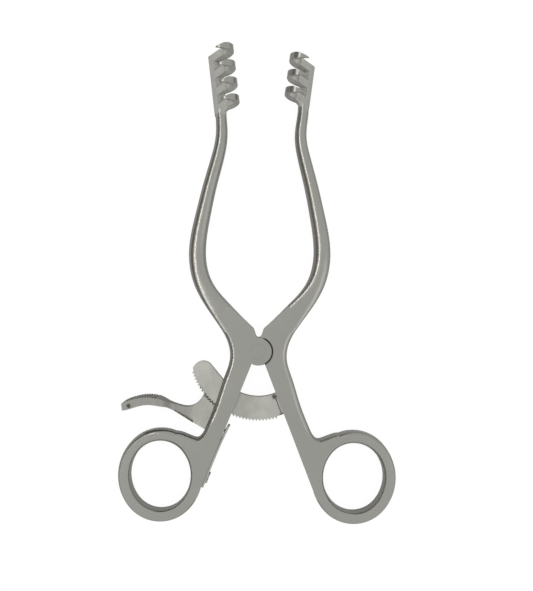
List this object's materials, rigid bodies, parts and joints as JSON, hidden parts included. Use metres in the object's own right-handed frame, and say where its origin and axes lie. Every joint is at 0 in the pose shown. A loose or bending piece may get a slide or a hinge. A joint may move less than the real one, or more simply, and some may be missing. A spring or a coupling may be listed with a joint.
{
  "type": "self retaining retractor",
  "caption": "Hinged self retaining retractor with finger rings, sharp hooked rakes on bowed arms, a toothed ratchet arc and a ribbed thumb release lever.",
  "frame": {"origin": "on the pivot axis, in the flat back plane of the joint", "axes": "+X to the viewer's right with the hooks towards the viewer, +Y from the finger rings to the rakes, +Z from the back to the side that the hooks point to"},
  "size_m": [0.0944, 0.162, 0.0092],
  "materials": {
    "satin_forging": "blasted satin stainless steel",
    "brushed_bar": "ground stainless steel",
    "spring_steel": "plain stainless spring steel"
  },
  "bodies": {
    "left_arm": {"left_arm": "satin_forging", "pivot_rivet": "satin_forging", "lever_pin": "satin_forging", "leaf_spring": "spring_steel", "spring_screw": "spring_steel"},
    "right_arm": {"right_arm": "satin_forging", "ratchet_bar": "brushed_bar", "ratchet_rivet_upper": "satin_forging", "ratchet_rivet_lower": "satin_forging"},
    "release_lever": {"release_lever": "brushed_bar"}
  },
  "joints": [
    {"name": "arm_pivot", "type": "hinge", "parent": "left_arm", "child": "right_arm", "pos_m": [0, 0, 0.0028], "axis": [0, 0, -1], "range_deg": [-8.4, 42]},
    {"name": "lever_pivot", "type": "hinge", "parent": "left_arm", "child": "release_lever", "pos_m": [-0.01369, -0.02401, 0.0028], "axis": [0, 0, 1], "range_deg": [0, 10], "stiffness_Nm_per_rad": 0.08, "springref_deg": -17.19, "deforming": ["leaf_spring"]}
  ]
}
